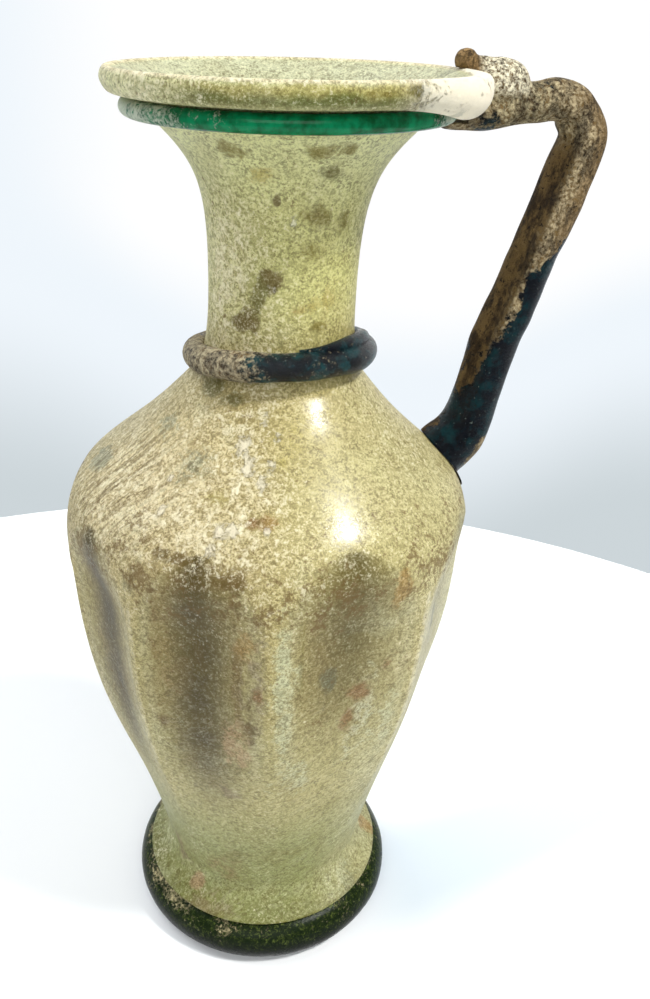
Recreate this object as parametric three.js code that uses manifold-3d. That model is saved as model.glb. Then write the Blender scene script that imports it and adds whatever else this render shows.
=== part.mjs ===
// A ribbed glass jug of late Roman type: a blown body with a funnel mouth, a thread under the rim,
// a coil round the neck, a ring foot and a rod handle with a folded thumb rest. Millimetres, +Z up.
import * as THREE from "three";
import { mergeVertices } from "three/addons/utils/BufferGeometryUtils.js";
import Module from "manifold-3d";

const wasm = await Module();
wasm.setup();

// Glass
const wall = 2.2;
const contactGap = 0.3; // between two pieces that touch

// Foot: a ring of round section, ground flat underneath, under the spread edge of the body
const footSpread = 2.2; // from the waist's radius to the middle of the ring
const footRingTube = 5.2;
const footRingFlat = 0.5;
const footEdgeReach = 2; // how far the body's edge lies over the ring, past its middle
const footEdgeThickness = 1.3;
const kickRise = 3.8; // from the ring's middle to the underside in the centre

// Body, from the waist above the foot to the neck
const waistRise = 7.1; // from the top of the ring
const waistRadius = 22.3;
const bellyRise = 81.5;
const bellyRadius = 39.1;
const shoulderRise = 30;
const neckBaseRadius = 16.4;

// Neck and funnel mouth
const neckRise = 17;
const neckRadius = 13.1;
const funnelRise = 30.5;
const funnelRadius = 26;

// Rim: an outward fold, with a lobe beside the handle that swells out and hangs down
const rimHeight = 4;
const rimFold = 3;
const rimRadius = 30;
const rimTilt = 0.029;
const lobeSwell = 2.4;
const lobeDroop = 2.6;
const lobeTurn = -30; // degrees from the handle
const lobeSpread = 24;

// How far the blown body wanders to the handle's side
const bellyLean = -0.6;
const neckLean = 0.8;
const mouthLean = 1.1;

// Ribs
const ribCount = 9;
const ribTurn = -101; // degrees from the handle to the first crest
const ribWander = 4.2; // degrees, half of the most that a crest is off its even place
const ribWanderTurn = -112;
const fluteDepth = 3.4;
const fluteFootRise = 3; // from the waist
const fluteTopRise = 10.5; // from the belly

// Coil round the neck
const coilTube = 2.5;
const coilRise = 4.5; // from the neck's base to the middle of the coil
const coilSlant = 2.2; // rise of the highest side above the middle height
const coilHighTurn = -80;
const coilTailTube = 1.5;
const coilTailLift = 2.6;
const coilTailTurn = -90;
const coilStartTurn = -6; // where the thick turn starts, with the tail's end in it

// Thread under the rim
const threadTube = 1.45;

// Handle
const handleFootRise = 12; // from the belly
const handleFootTube = 5.6;
const handleTube = 4.5;
const handleTopTube = 3.4;
const handleWidth = 1.06; // tangential width as a share of the radial thickness
const handleReach = 24.3; // from the rim's radius to the middle of the rod
const handleTopDrop = 3.6; // from the top of the rim to the middle of the strap
const handleBend = 7.5;
const thumbLength = 5.4;
const thumbHeight = 3.9;
const thumbWidth = 4.6;
const thumbSetback = 1.8; // from the rim
const knobRadius = 1.95;

// Fineness of the faceted solids
const around = 54;
const rodSides = 10;
const coilSides = 7;
const tailSides = 6;
const threadSides = 6;
const footRingSides = 8;

// Places worked out from the sizes above
const ringMiddle = footRingTube - footRingFlat;
const footRingRadius = waistRadius + footSpread;
const seatRadius = footRingTube + contactGap;
const kickHeight = ringMiddle + kickRise;
const waistHeight = ringMiddle + footRingTube + waistRise;
const bellyHeight = waistHeight + bellyRise;
const neckBaseHeight = bellyHeight + shoulderRise;
const neckHeight = neckBaseHeight + neckRise;
const funnelHeight = neckHeight + funnelRise;
const rimTop = funnelHeight + rimHeight;
const fluteFootHeight = waistHeight + fluteFootRise;
const fluteTopHeight = bellyHeight + fluteTopRise;
const coilHeight = neckBaseHeight + coilRise;
const threadHeight = funnelHeight - threadTube - contactGap;
const handleFootHeight = bellyHeight + handleFootRise;

const at = (radius, height) => new THREE.Vector2(radius, height);
const radians = THREE.MathUtils.degToRad;
const smooth = THREE.MathUtils.smoothstep;

// The outer wall from the waist to the end of the funnel, as curves of radius and height.
const lowerBody = new THREE.CubicBezierCurve(
  at(waistRadius, waistHeight),
  at(waistRadius + 0.42 * (bellyRadius - waistRadius), waistHeight + 0.44 * bellyRise),
  at(bellyRadius, bellyHeight - 0.49 * bellyRise),
  at(bellyRadius, bellyHeight),
);
const shoulder = new THREE.CubicBezierCurve(
  at(bellyRadius, bellyHeight),
  at(bellyRadius, bellyHeight + 0.48 * shoulderRise),
  at(neckBaseRadius + 0.67 * (bellyRadius - neckBaseRadius), neckBaseHeight - 0.61 * shoulderRise),
  at(neckBaseRadius, neckBaseHeight),
);
const neck = new THREE.CubicBezierCurve(
  at(neckBaseRadius, neckBaseHeight),
  at(neckRadius + 0.15, neckBaseHeight + 0.13 * neckRise),
  at(neckRadius, neckHeight - 0.4 * neckRise),
  at(neckRadius, neckHeight),
);
const funnel = new THREE.CubicBezierCurve(
  at(neckRadius, neckHeight),
  at(neckRadius, neckHeight + 0.64 * funnelRise),
  at(neckRadius + 0.23 * (funnelRadius - neckRadius), funnelHeight - 0.31 * funnelRise),
  at(funnelRadius, funnelHeight),
);
const wallCurves = [
  [lowerBody, 8],
  [shoulder, 7],
  [neck, 2],
  [funnel, 5],
];

const wallPoints = wallCurves.flatMap(([curve, steps]) => curve.getPoints(steps).slice(1));
// The faceted outer wall's plain radius at a height between the waist and the rim's fold.
function radiusAt(height) {
  const above = wallPoints.findIndex((point) => point.y >= height);
  const [low, high] = [wallPoints[above - 1], wallPoints[above]];
  return THREE.MathUtils.mapLinear(height, low.y, high.y, low.x, high.x);
}

const threadRadius = radiusAt(threadHeight) + 1.2 * threadTube;
const threadOuterRadius = threadRadius + threadTube;

// The underside: the kick in the middle, the seat round the ring, and the edge spread over it.
const seatStart = Math.PI * 1.12;
const seatEnd = Math.acos(footEdgeReach / seatRadius);
const seatPoint = (angle) =>
  at(footRingRadius + seatRadius * Math.cos(angle), ringMiddle + seatRadius * Math.sin(angle));
const kick = new THREE.CubicBezierCurve(
  at(0, kickHeight),
  at(0.5 * footRingRadius, kickHeight),
  at(0.62 * footRingRadius, seatPoint(seatStart).y),
  seatPoint(seatStart),
);
const footEdge = new THREE.CubicBezierCurve(
  seatPoint(seatEnd).add(at(0.35 * footEdgeThickness, 0.5 * footEdgeThickness)),
  seatPoint(seatEnd).add(at(-footEdgeThickness, 1.3 * footEdgeThickness)),
  at(waistRadius, waistHeight - 0.28 * (waistHeight - ringMiddle)),
  at(waistRadius, waistHeight),
);
const floor = new THREE.CubicBezierCurve(
  at(waistRadius - wall, waistHeight),
  at(waistRadius - wall, kickHeight + 0.4 * wall),
  at(0.45 * waistRadius, kickHeight + wall),
  at(0, kickHeight + wall),
);

// The rim's section, from the end of the funnel over the fold to the inside.
const rimFoldPoints = [
  at(rimRadius - 0.78 * rimFold, rimTop - 0.97 * rimHeight),
  at(rimRadius - 0.3 * rimFold, rimTop - 0.85 * rimHeight),
  at(rimRadius, rimTop - 0.4 * rimHeight),
  at(rimRadius - 0.24 * rimFold, rimTop),
  at(rimRadius - 0.72 * rimFold, rimTop - 0.1 * rimHeight),
];

function outerPoints() {
  const points = kick.getPoints(3);
  const seatSteps = 4;
  for (let i = 1; i <= seatSteps; i++) {
    points.push(seatPoint(THREE.MathUtils.lerp(seatStart, seatEnd, i / seatSteps)));
  }
  points.push(...footEdge.getPoints(3));
  return [...points, ...wallPoints, ...rimFoldPoints];
}

// A curve's points moved inwards by the wall, from its far end back to its start.
function insideOf(curve, steps) {
  const points = [];
  for (let i = steps; i >= 0; i--) {
    const tangent = curve.getTangent(i / steps);
    points.push(curve.getPoint(i / steps).add(at(-tangent.y, tangent.x).multiplyScalar(wall)));
  }
  return points;
}

function innerPoints() {
  const points = [
    ...insideOf(funnel, 4),
    ...insideOf(neck, 1).slice(1),
    ...insideOf(shoulder, 4).slice(1),
    ...insideOf(lowerBody, 5).slice(1, -1),
  ];
  return [...points, ...floor.getPoints(3)];
}

// How deep the flutes are at an angle and height: rounded at the top, fading out at the foot.
function fluteAt(angle, height) {
  const length = fluteTopHeight - fluteFootHeight;
  const drift = radians(ribWander) * (1 - Math.cos(2 * (angle - radians(ribWanderTurn))));
  const turns = (angle - drift - radians(ribTurn)) / (2 * Math.PI);
  const share = THREE.MathUtils.euclideanModulo(turns * ribCount + 0.5, 1);
  const across = 1 - 2 * Math.abs(share - 0.5); // 0 in the middle of a flute, 1 on a crest
  const arch = smooth(fluteTopHeight - height, 0, 0.2 * length);
  const growth = smooth(height, fluteFootHeight, fluteFootHeight + 0.85 * length);
  const hollow = Math.cos((Math.min(across / Math.max(arch, 0.01), 1) * Math.PI) / 2) ** 1.25;
  return fluteDepth * arch * growth * hollow;
}

// How much of the lobe beside the handle is at an angle: 1 in its middle.
function lobeAt(angle) {
  const turn = angle - radians(lobeTurn);
  const away = Math.atan2(Math.sin(turn), Math.cos(turn)) / radians(lobeSpread);
  return Math.exp(-(away ** 2));
}

// How far the fold stands out at an angle and height.
function swellAt(angle, height) {
  return lobeSwell * lobeAt(angle) * smooth(height, funnelHeight - 3, rimTop - 0.5 * rimHeight);
}

// Ribs and the rim's lobe, on a vertex at its plain place.
function shape(point) {
  const radius = Math.hypot(point.x, point.y);
  if (radius > 0.01) {
    const angle = Math.atan2(point.y, point.x);
    const outside = smooth(radius, threadOuterRadius, rimRadius);
    const moved = radius - fluteAt(angle, point.z) + swellAt(angle, point.z) * outside;
    const overThread = smooth(radius, threadOuterRadius, threadOuterRadius + 1);
    const underRim = smooth(rimTop - point.z, 0, rimHeight);
    const overFunnel = smooth(point.z, funnelHeight - 1, funnelHeight);
    point.x *= moved / radius;
    point.y *= moved / radius;
    point.z -= lobeDroop * lobeAt(angle) * overThread * underRim * overFunnel;
  }
  wander(point);
}

// The slope of the mouth and the way the body leans, on a point that is placed round the true axis.
function wander(point) {
  const height = point.z;
  point.z += rimTilt * point.x * smooth(height, neckHeight, funnelHeight);
  point.x += THREE.MathUtils.lerp(0, bellyLean, smooth(height, waistHeight, bellyHeight));
  point.x += THREE.MathUtils.lerp(0, neckLean - bellyLean, smooth(height, bellyHeight, neckHeight));
  point.x += THREE.MathUtils.lerp(0, mouthLean - neckLean, smooth(height, neckHeight, funnelHeight));
}

// Turns a profile of radius and height round +Z.
function spin(points, segments) {
  return new THREE.LatheGeometry(points, segments).rotateX(Math.PI / 2);
}

function eachPoint(geometry, change) {
  const position = geometry.getAttribute("position");
  const point = new THREE.Vector3();
  for (let i = 0; i < position.count; i++) {
    point.fromBufferAttribute(position, i);
    change(point);
    position.setXYZ(i, point.x, point.y, point.z);
  }
  return geometry;
}

// Joins rings of points, each with as many points, into a closed solid with a fan on each end.
function skin(rings) {
  const count = rings[0].length;
  const vertices = rings.flat();
  const faces = [];
  for (let k = 0; k + 1 < rings.length; k++) {
    for (let i = 0; i < count; i++) {
      const a = k * count + i;
      const b = k * count + ((i + 1) % count);
      faces.push(a, b, b + count, a, b + count, a + count);
    }
  }
  const last = (rings.length - 1) * count;
  for (let i = 1; i + 1 < count; i++) {
    faces.push(0, i + 1, i, last, last + i, last + i + 1);
  }
  return new THREE.BufferGeometry().setFromPoints(vertices).setIndex(faces);
}

// A rod along a curve. sizeAt gives its half thickness across the curve's plane and half width.
function rod(curve, steps, sides, flatNormal, sizeAt) {
  const rings = [];
  for (let k = 0; k <= steps; k++) {
    const middle = curve.getPoint(k / steps);
    const along = curve.getTangent(k / steps);
    const side = flatNormal.clone().addScaledVector(along, -flatNormal.dot(along)).normalize();
    const across = new THREE.Vector3().crossVectors(side, along);
    const [thick, wide] = sizeAt(k / steps);
    const ring = [];
    for (let i = 0; i < sides; i++) {
      const a = (2 * Math.PI * i) / sides;
      ring.push(
        middle
          .clone()
          .addScaledVector(across, thick * Math.cos(a))
          .addScaledVector(side, wide * Math.sin(a)),
      );
    }
    rings.push(ring);
  }
  return skin(rings);
}

// A solid for joining and cutting.
function solidOf(geometry) {
  const bare = geometry.clone();
  bare.deleteAttribute("normal");
  bare.deleteAttribute("uv");
  const merged = mergeVertices(bare, 1e-3);
  return new wasm.Manifold(
    new wasm.Mesh({
      numProp: 3,
      vertProperties: merged.getAttribute("position").array,
      triVerts: new Uint32Array(merged.index.array),
    }),
  );
}

function geometryOf(solid) {
  const mesh = solid.getMesh();
  const geometry = new THREE.BufferGeometry();
  geometry.setAttribute("position", new THREE.BufferAttribute(mesh.vertProperties, 3));
  geometry.setIndex(new THREE.BufferAttribute(mesh.triVerts, 1));
  geometry.computeVertexNormals();
  return geometry;
}

function bodyGeometry() {
  const geometry = spin([...outerPoints(), ...innerPoints()], around);
  return eachPoint(geometry, shape);
}

// A profile's points moved out along its normals.
function grown(points, distance) {
  return points.map((point, i) => {
    const before = points[Math.max(i - 1, 0)];
    const after = points[Math.min(i + 1, points.length - 1)];
    const along = after.clone().sub(before).normalize();
    return point.clone().add(at(along.y, -along.x).multiplyScalar(distance));
  });
}

// The body above the waist without its hollow, grown by the gap that a touching piece keeps to it.
function bodyClearance() {
  const outside = grown([...wallPoints, ...rimFoldPoints.slice(0, -1)], contactGap);
  const profile = [at(0, outside[0].y), ...outside, at(0, rimTop + contactGap)];
  return solidOf(eachPoint(spin(profile, around), shape));
}

function footRingGeometry() {
  const points = [];
  const flatAngle = Math.acos(ringMiddle / footRingTube);
  for (let i = 0; i <= footRingSides; i++) {
    const share = i / footRingSides;
    const angle = THREE.MathUtils.lerp(flatAngle, 2 * Math.PI - flatAngle, share) - Math.PI / 2;
    const offset = at(Math.cos(angle), Math.sin(angle)).multiplyScalar(footRingTube);
    points.push(at(footRingRadius, ringMiddle).add(offset));
  }
  points.push(points[0].clone());
  return spin(points, around);
}

// A curve round the axis between two angles in degrees, at a radius, with its height worked out.
function turnCurve(from, to, radius, heightAt) {
  const steps = Math.ceil(Math.abs(to - from) / 12);
  const points = [];
  for (let i = 0; i <= steps; i++) {
    const turn = THREE.MathUtils.lerp(from, to, i / steps);
    const angle = radians(turn);
    points.push(new THREE.Vector3(radius * Math.cos(angle), radius * Math.sin(angle), heightAt(turn)));
  }
  return new THREE.CatmullRomCurve3(points);
}

function coilHeightAt(turn) {
  return coilHeight + coilSlant * Math.cos(radians(turn - coilHighTurn));
}

// Moves a point that would be inside the wall out to where a touching piece begins.
function layOnWall(point) {
  const radius = Math.hypot(point.x, point.y);
  const least = radiusAt(point.z) + contactGap;
  if (radius < least) point.set((point.x * least) / radius, (point.y * least) / radius, point.z);
}

// The neck coil: a thin tail laid first on the neck, and one thick turn that ends over it.
function coilGeometry() {
  const up = new THREE.Vector3(0, 0, 1);
  const mainRadius = radiusAt(coilHeight) + 0.5 * coilTube;
  const tailRadius = radiusAt(coilHeight + coilTailLift) + 0.75 * coilTailTube;
  const mainHeight = (turn) => coilHeightAt(turn) + 0.5 * coilTailLift * (1 - smooth(turn, 0, 50));
  const tailHeight = (turn) => coilHeightAt(turn) + coilTailLift * (1 - 0.3 * smooth(turn, -30, 5));
  const mainCurve = turnCurve(coilStartTurn, coilStartTurn + 378, mainRadius, mainHeight);
  const tailCurve = turnCurve(coilTailTurn, coilStartTurn + 14, tailRadius, tailHeight);
  const main = rod(mainCurve, 40, coilSides, up, (t) => {
    const size = coilTube * (0.5 + 0.5 * smooth(t, 0, 0.12)) * (0.55 + 0.45 * smooth(1 - t, 0, 0.06));
    return [size, size];
  });
  const tail = rod(tailCurve, 12, tailSides, up, (t) => {
    const size = coilTailTube * (0.35 + 0.65 * smooth(t, 0, 0.35));
    return [size, size];
  });
  for (const strand of [main, tail]) {
    eachPoint(strand, (point) => {
      layOnWall(point);
      wander(point);
    });
  }
  return geometryOf(solidOf(main).add(solidOf(tail)));
}

// The thread under the rim, grown by a gap where it is used to cut its room out of the handle.
function threadGeometry(grow) {
  const ring = new THREE.TorusGeometry(threadRadius, threadTube + grow, threadSides, around);
  ring.translate(0, 0, threadHeight);
  return eachPoint(ring, (point) => {
    if (grow === 0) layOnWall(point);
    wander(point);
  });
}

// The handle's middle line in the plane through the jug's axis: up from the shoulder, outwards,
// over a tight bend and in to the rim.
function handleCurve() {
  const top = rimTop - handleTopDrop;
  const foot = radiusAt(handleFootHeight);
  const bendStart = top - handleBend;
  const inPlane = (radius, height) => new THREE.Vector3(radius, 0, height);
  const low = inPlane(foot + 0.68 * handleFootTube, handleFootHeight + 0.9 * handleFootTube);
  const reach = rimRadius + handleReach;
  const high = inPlane(reach, bendStart);
  const climb = (share, bow) => low.clone().lerp(high, share).add(inPlane(bow, 0));
  return new THREE.CatmullRomCurve3([
    inPlane(foot - 0.8 * handleFootTube, handleFootHeight - 0.6 * handleFootTube),
    low,
    climb(0.3, -0.8),
    climb(0.65, -0.3),
    high,
    inPlane(reach - 0.12 * handleBend, bendStart + 0.6 * handleBend),
    inPlane(reach - 0.55 * handleBend, top),
    inPlane(reach - 1.3 * handleBend, top - 0.03 * handleBend),
    inPlane(rimRadius + 1.2 * handleTopTube, top - 0.5 * handleTopTube),
    inPlane(threadOuterRadius, top - 0.5 * handleTopTube),
  ]);
}

// The rod, the lump where its end was folded back as a thumb rest, and the knob of the fold's tip.
function handleSolid() {
  const sideways = new THREE.Vector3(0, 1, 0);
  const size = (t) => {
    const swelling = (handleFootTube - handleTube) * (1 - smooth(t, 0, 0.22));
    const thinning = (handleTube - handleTopTube) * smooth(t, 0.35, 0.75);
    const thick = handleTube + swelling - thinning;
    return [thick, handleWidth * thick];
  };
  const strap = solidOf(rod(handleCurve(), 30, rodSides, sideways, size));
  const knobMiddle = rimRadius + 0.4 * knobRadius;
  const knobHeight = rimTop + rimTilt * knobMiddle + contactGap + 0.45 * knobRadius;
  const knob = solidOf(new THREE.SphereGeometry(knobRadius, 10, 8).translate(knobMiddle, 0, knobHeight));
  const thumbMiddle = rimRadius + thumbSetback + thumbLength;
  const thumbBase = rimTop - 0.25 * thumbHeight;
  const thumb = solidOf(
    new THREE.SphereGeometry(1, 12, 10)
      .scale(thumbLength, thumbWidth, thumbHeight)
      .translate(thumbMiddle, 0, thumbBase),
  );
  const bridge = new THREE.LineCurve3(
    new THREE.Vector3(knobMiddle, 0, knobHeight),
    new THREE.Vector3(thumbMiddle, 0, thumbBase + 0.45 * thumbHeight),
  );
  const fold = solidOf(rod(bridge, 3, 8, sideways, () => [0.8 * knobRadius, 1.1 * knobRadius]));
  return strap.add(thumb).add(fold).add(knob);
}

function finish(color, roughness, opacity) {
  return new THREE.MeshStandardMaterial({
    color,
    roughness,
    metalness: 0,
    opacity,
    transparent: opacity < 1,
  });
}

const paleGlass = finish(0xb9b883, 0.5, 0.9);
const darkBlueGlass = finish(0x6d6650, 0.55, 1);
const tealGlass = finish(0x0f6f62, 0.25, 1);
const darkGreenGlass = finish(0x24331a, 0.3, 1);

function piece(name, geometry, material) {
  const mesh = new THREE.Mesh(geometry, material);
  mesh.name = name;
  return mesh;
}

// What the handle has to leave free.
const taken = bodyClearance().add(solidOf(threadGeometry(contactGap)));

const jug = new THREE.Group();
jug.add(
  piece("body", bodyGeometry(), paleGlass),
  piece("foot_ring", footRingGeometry(), darkGreenGlass),
  piece("neck_coil", coilGeometry(), darkBlueGlass),
  piece("rim_thread", threadGeometry(0), tealGlass),
  piece("handle", geometryOf(handleSolid().subtract(taken)), darkBlueGlass),
);

// The frame's origin is in the middle of the bounding box's base.
const bounds = new THREE.Box3().setFromObject(jug);
const middle = bounds.getCenter(new THREE.Vector3());
jug.position.set(-middle.x, -middle.y, -bounds.min.z);

export default jug;
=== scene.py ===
"""A weathered ribbed glass jug on a pale floor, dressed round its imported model.

Lengths are in millimetres until a mesh is made, and angles in degrees, from the side of the handle.
"""
import bpy
import numpy as np
from mathutils import Matrix, Vector, noise


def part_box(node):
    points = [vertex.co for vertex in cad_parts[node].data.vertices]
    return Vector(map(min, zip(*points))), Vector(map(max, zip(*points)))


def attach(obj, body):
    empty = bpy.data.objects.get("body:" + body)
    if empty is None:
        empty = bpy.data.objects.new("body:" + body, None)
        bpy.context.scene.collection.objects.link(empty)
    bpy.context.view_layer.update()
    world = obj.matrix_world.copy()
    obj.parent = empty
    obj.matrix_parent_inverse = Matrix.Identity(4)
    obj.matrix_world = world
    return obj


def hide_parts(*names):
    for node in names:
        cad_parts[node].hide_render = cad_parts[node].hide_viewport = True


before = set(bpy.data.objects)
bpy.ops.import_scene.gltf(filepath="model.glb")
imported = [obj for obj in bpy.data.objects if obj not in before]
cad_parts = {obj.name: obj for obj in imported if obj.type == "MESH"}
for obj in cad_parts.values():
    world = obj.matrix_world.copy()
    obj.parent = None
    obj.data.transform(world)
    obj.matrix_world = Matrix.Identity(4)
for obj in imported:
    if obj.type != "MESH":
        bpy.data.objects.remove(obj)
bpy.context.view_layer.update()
MM = 0.001

ring_low, ring_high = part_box("foot_ring")
AXIS_X = (ring_low[0] / MM + ring_high[0] / MM) / 2

# Glass
WALL = 2.2
SUNK = 0.05

# Foot
RING_RADIUS = 24.5
RING_TUBE = 5.2
RING_FLAT = 0.5
FOOT_EDGE_REACH = 2.0
FOOT_EDGE_THICKNESS = 1.3
KICK = 8.5

# Body profile
WAIST, WAIST_RADIUS = 17.0, 22.3
BELLY, BELLY_RADIUS = 98.5, 39.1
NECK_BASE, NECK_BASE_RADIUS = 128.5, 16.4
NECK, NECK_RADIUS = 145.5, 13.1
FUNNEL, FUNNEL_RADIUS = 176.0, 26.0
RIM_TOP, RIM_RADIUS, RIM_FOLD = 180.0, 30.0, 3.0
RIM_HEIGHT = RIM_TOP - FUNNEL
RIM_TILT = 0.029
LOBE_SWELL, LOBE_DROOP, LOBE_TURN, LOBE_SPREAD = 2.4, 2.6, -30, 24
BELLY_LEAN, NECK_LEAN, MOUTH_LEAN = -0.6, 0.8, 1.1

# Ribs
RIBS, RIB_TURN = 9, -101
RIB_WANDER, RIB_WANDER_TURN = 4.2, -112
FLUTE_DEPTH, FLUTE_FOOT, FLUTE_TOP = 3.4, 20.0, 109.0

# Neck coil
COIL_TUBE, COIL_HEIGHT, COIL_SLANT, COIL_HIGH_TURN = 2.5, 133.0, 2.2, -80
COIL_START_TURN, COIL_WIND = -6, 378
TAIL_TUBE, TAIL_LIFT, TAIL_TURN, TAIL_OVERLAP = 1.5, 2.6, -90, 14

# Rim thread
THREAD_TUBE, THREAD_GAP = 1.45, 0.3
THREAD_HEIGHT = FUNNEL - THREAD_TUBE - THREAD_GAP

# Handle
HANDLE_FOOT, HANDLE_FOOT_TUBE = 110.5, 5.6
HANDLE_TUBE, HANDLE_TOP_TUBE, HANDLE_WIDTH = 4.5, 3.4, 1.06
HANDLE_REACH, HANDLE_TOP_DROP, HANDLE_BEND = 54.3, 3.6, 7.5
THUMB_LENGTH, THUMB_WIDTH, THUMB_HEIGHT = 5.4, 4.6, 3.9
KNOB_RADIUS = 1.95
BRIDGE_LENGTH = 3.2
RIM_CLEARANCE = 1.2

# Fineness of the meshes
BODY_AROUND = 288
RING_AROUND, RING_SIDES = 240, 40
COIL_STEPS, COIL_SIDES = 260, 24
TAIL_STEPS, TAIL_SIDES = 70, 16
THREAD_AROUND, THREAD_SIDES = 260, 20
HANDLE_STEPS, HANDLE_SIDES = 18, 40
SKIN_GRAIN, SKIN_PASSES = 0.42, 3

# Stage
TABLE_X, TABLE_Y, TABLE_RADIUS = -38.0, -83.6, 275.3
BACKDROP_Y = 600.0
BACKDROP_SPAN, BACKDROP_RISE = (-1200, 1600), (-900, 700)
WORLD_COLOUR, WORLD_STRENGTH = (0.93, 0.96, 1.0, 1), 0.45
LAMPS = (
    # name, direction, distance and size in metres, watts, colour
    ("window", (0.47, -0.37, 0.8), 0.8, (0.13, 0.08), 5.5, (1.0, 0.99, 0.96)),
    ("soft_back", (-0.6, 0.55, 0.9), 1.1, (0.9, 0.7), 8.0, (0.98, 0.99, 1.0)),
    ("soft_front", (-0.3, -1.0, 0.75), 1.2, (1.0, 0.8), 6.0, (1.0, 0.99, 0.97)),
)

# View, worked out from the photograph
VIEW_TURN, VIEW_PITCH, VIEW_ROLL = 16.0, 28.0, 3.3
VIEW_PLACE = (-34.1, -156.7, 187.7)
PHOTO_HEIGHT, FOCAL_PIXELS, SENSOR = 999, 912, 36.0


# Numbers and noise

def smooth(value, low, high):
    """From 0 at low to 1 at high, where low may be the larger."""
    share = np.clip((value - low) / (high - low), 0, 1)
    return share * share * (3 - 2 * share)


def bump_at(value, middle, spread):
    """1 at the middle, falling off on both sides."""
    return np.exp(-(((value - middle) / spread) ** 2))


def turned(angle, middle):
    """How many degrees an angle lies from another one, between -180 and 180."""
    return (angle - middle + 180) % 360 - 180


def near(angle, middle, spread):
    """1 at an angle, falling off on both sides."""
    return bump_at(turned(angle, middle), 0, spread)


def cosine(degrees):
    return np.cos(np.radians(degrees))


def sine(degrees):
    return np.sin(np.radians(degrees))


def facing(angle, middle, low, high):
    """0 to 1 as a place turns towards an angle, between two cosines."""
    return smooth(cosine(turned(angle, middle)), low, high)


def placed(radius, angle, height):
    """Points at radii, angles and heights round the axis."""
    return np.stack([radius * cosine(angle), radius * sine(angle), height], 1)


def noise_at(points, size, seed):
    """Smooth noise between about -1 and 1 at each point, with features of a size."""
    shift = Vector((seed * 17.3, seed * 5.1, seed * 9.7))
    return np.array([noise.noise(Vector(p) / size + shift) for p in points])


def linear(red, green, blue):
    """A colour of 0 to 255 as the linear light that the shaders take."""
    c = np.array([red, green, blue]) / 255
    return np.where(c < 0.04045, c / 12.92, ((c + 0.055) / 1.055) ** 2.4)


def even(colour, count):
    """One linear colour for each of a number of points."""
    return np.tile(linear(*colour), (count, 1))


def layered(colours, *layers):
    """Linear colours with other colours laid over them one by one, each by its own share."""
    for share, other in layers:
        colours = colours + (linear(*other) - colours) * np.clip(share, 0, 1)[:, None]
    return colours


# Profile of the body

def bezier(a, b, c, d, steps):
    t = np.linspace(0, 1, steps + 1)[:, None]
    a, b, c, d = (np.array(p, float) for p in (a, b, c, d))
    return (1 - t) ** 3 * a + 3 * (1 - t) ** 2 * t * b + 3 * (1 - t) * t ** 2 * c + t ** 3 * d


def wall_profile():
    """The outer wall from the waist to the funnel's end."""
    waist, belly, base = (WAIST_RADIUS, WAIST), (BELLY_RADIUS, BELLY), (NECK_BASE_RADIUS, NECK_BASE)
    neck, funnel = (NECK_RADIUS, NECK), (FUNNEL_RADIUS, FUNNEL)
    rise, drop, climb = BELLY - WAIST, NECK_BASE - BELLY, NECK - NECK_BASE
    swell, taper = BELLY_RADIUS - WAIST_RADIUS, BELLY_RADIUS - NECK_BASE_RADIUS
    open_by, open_rise = FUNNEL_RADIUS - NECK_RADIUS, FUNNEL - NECK
    lower = bezier(
        waist, (WAIST_RADIUS + 0.42 * swell, WAIST + 0.44 * rise),
        (BELLY_RADIUS, BELLY - 0.49 * rise), belly, 86)
    shoulder = bezier(
        belly, (BELLY_RADIUS, BELLY + 0.48 * drop),
        (NECK_BASE_RADIUS + 0.67 * taper, NECK_BASE - 0.61 * drop), base, 44)
    throat = bezier(
        base, (NECK_RADIUS + 0.15, NECK_BASE + 0.13 * climb), (NECK_RADIUS, NECK - 0.4 * climb), neck, 14)
    mouth = bezier(
        neck, (NECK_RADIUS, NECK + 0.64 * open_rise),
        (NECK_RADIUS + 0.23 * open_by, FUNNEL - 0.31 * open_rise), funnel, 32)
    return np.vstack([lower, shoulder[1:], throat[1:], mouth[1:]])


WALL_POINTS = wall_profile()


def wall_radius(height):
    return np.interp(height, WALL_POINTS[:, 1], WALL_POINTS[:, 0])


def foot_profile():
    """The underside from the axis, round the ring and out to the edge spread over it."""
    middle = RING_TUBE - RING_FLAT
    seat = RING_TUBE + SUNK
    thick = FOOT_EDGE_THICKNESS
    angles = np.linspace(1.12 * np.pi, np.arccos(FOOT_EDGE_REACH / seat), 13)
    round_ring = np.stack([RING_RADIUS + seat * np.cos(angles), middle + seat * np.sin(angles)], 1)
    kick = bezier(
        (0, KICK), (0.5 * RING_RADIUS, KICK), (0.62 * RING_RADIUS, round_ring[0, 1]), round_ring[0], 7)
    lip = round_ring[-1]
    edge = bezier(
        lip + (0.35 * thick, 0.5 * thick), lip + (-thick, 1.3 * thick),
        (WAIST_RADIUS, WAIST - 0.28 * (WAIST - middle)), (WAIST_RADIUS, WAIST), 12)
    return np.vstack([kick, round_ring[1:], edge])


def rim_profile():
    """Over the outward fold, from the funnel's end to its inside, as one smooth bead."""
    corners = np.array([
        (FUNNEL_RADIUS, FUNNEL),
        (RIM_RADIUS - 0.78 * RIM_FOLD, RIM_TOP - 0.97 * RIM_HEIGHT),
        (RIM_RADIUS - 0.3 * RIM_FOLD, RIM_TOP - 0.85 * RIM_HEIGHT),
        (RIM_RADIUS, RIM_TOP - 0.4 * RIM_HEIGHT),
        (RIM_RADIUS - 0.24 * RIM_FOLD, RIM_TOP),
        (RIM_RADIUS - 0.72 * RIM_FOLD, RIM_TOP - 0.1 * RIM_HEIGHT),
        inner_wall()[0],
    ])
    return rounded(corners, 7)


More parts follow.
